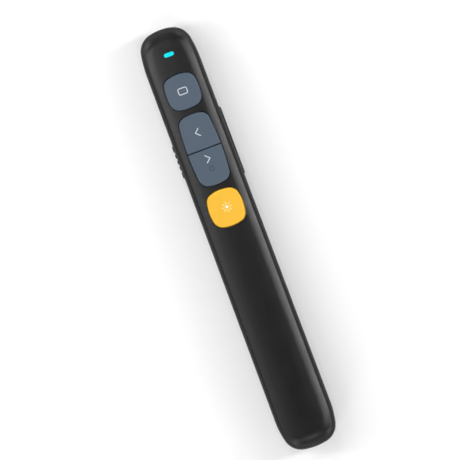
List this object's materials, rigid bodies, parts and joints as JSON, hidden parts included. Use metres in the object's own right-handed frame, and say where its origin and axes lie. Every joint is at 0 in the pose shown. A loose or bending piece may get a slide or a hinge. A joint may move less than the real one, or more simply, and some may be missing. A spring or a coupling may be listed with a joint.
{
  "type": "wireless presentation clicker",
  "caption": "Slim black hand-held slide clicker with grey page keys, an amber laser key, a side rocker, a slide switch and a plug-in receiver stored in its back.",
  "frame": {"origin": "on the surface it lies on, under the middle of the case", "axes": "+Y towards the laser end, +Z out of the key side, +X to the right seen from above"},
  "size_m": [0.0205, 0.152, 0.0163],
  "materials": {
    "case": "fine-grained satin black, soft to the touch",
    "grey_key": "matte slate blue-grey",
    "yellow_key": "matte amber yellow",
    "dark_plastic": "plain black moulding",
    "switch_metal": "stamped tinned steel",
    "board": "black solder mask",
    "steel": "plain steel",
    "ceramic_part": "tan ceramic with tinned ends",
    "lamp": "small moulded lamp",
    "light_guide": "cyan light guide, lit",
    "brass": "turned brass",
    "clear": "clear moulded lens",
    "gold_metal": "gold flashed metal",
    "dark_window": "dark red polished window",
    "cell_wrap": "plain printed film wrap",
    "nickel": "nickel plated spring steel",
    "plug_steel": "nickel plated drawn steel",
    "insert_plastic": "black tongue with contacts",
    "magnet": "nickel plated magnet"
  },
  "bodies": {
    "handset": {"bottom_housing": "case", "top_cover": "case", "key_switches": "switch_metal", "main_board": "board", "board_screws": "steel", "radio_chip": "dark_plastic", "crystal": "steel", "board_parts": "ceramic_part", "status_led": "lamp", "light_window": "light_guide", "laser_barrel": "brass", "laser_lens": "clear", "laser_diode": "gold_metal", "laser_driver": "board", "laser_pins": "gold_metal", "nose_window": "dark_window", "rocker_pin": "steel", "rocker_switches": "dark_plastic", "slide_switch": "switch_metal", "battery_cell": "cell_wrap", "battery_spring": "nickel", "spring_plate": "nickel", "battery_strap": "nickel", "battery_contact": "nickel", "receiver_magnet": "magnet"},
    "screen_button": {"screen_key": "grey_key", "screen_plunger": "dark_plastic"},
    "page_up_button": {"page_up_key": "grey_key", "page_up_plunger": "dark_plastic"},
    "page_down_button": {"page_down_key": "grey_key", "page_down_plunger": "dark_plastic"},
    "laser_button": {"laser_key": "yellow_key", "laser_plunger": "dark_plastic"},
    "rocker": {"volume_rocker": "case"},
    "power_slide": {"power_knob": "case", "slide_lever": "dark_plastic"},
    "door": {"battery_door": "case"},
    "receiver": {"receiver_grip": "case", "receiver_plug": "plug_steel", "receiver_insert": "insert_plastic", "receiver_contacts": "gold_metal"}
  },
  "joints": [
    {"name": "screen_button_press", "type": "slide", "parent": "handset", "child": "screen_button", "axis": [0, 0, -1], "range_m": [0, 0.0004], "stiffness_N_per_m": 600},
    {"name": "page_up_button_press", "type": "slide", "parent": "handset", "child": "page_up_button", "axis": [0, 0, -1], "range_m": [0, 0.0004], "stiffness_N_per_m": 600},
    {"name": "page_down_button_press", "type": "slide", "parent": "handset", "child": "page_down_button", "axis": [0, 0, -1], "range_m": [0, 0.0004], "stiffness_N_per_m": 600},
    {"name": "laser_button_press", "type": "slide", "parent": "handset", "child": "laser_button", "axis": [0, 0, -1], "range_m": [0, 0.0004], "stiffness_N_per_m": 600},
    {"name": "rocker_tilt", "type": "hinge", "parent": "handset", "child": "rocker", "pos_m": [0.00623, 0.03215, 0.008], "axis": [0, 0, 1], "range_deg": [-1.2, 1.2], "stiffness_Nm_per_rad": 0.5},
    {"name": "power_slide_travel", "type": "slide", "parent": "handset", "child": "power_slide", "axis": [0, 1, 0], "range_m": [0, 0.0025]},
    {"name": "door_slide", "type": "slide", "parent": "handset", "child": "door", "axis": [0, -1, 0], "range_m": [0, 0.007]},
    {"name": "receiver_lift", "type": "slide", "parent": "handset", "child": "receiver", "axis": [0, 0, -1], "range_m": [0, 0.014]}
  ]
}
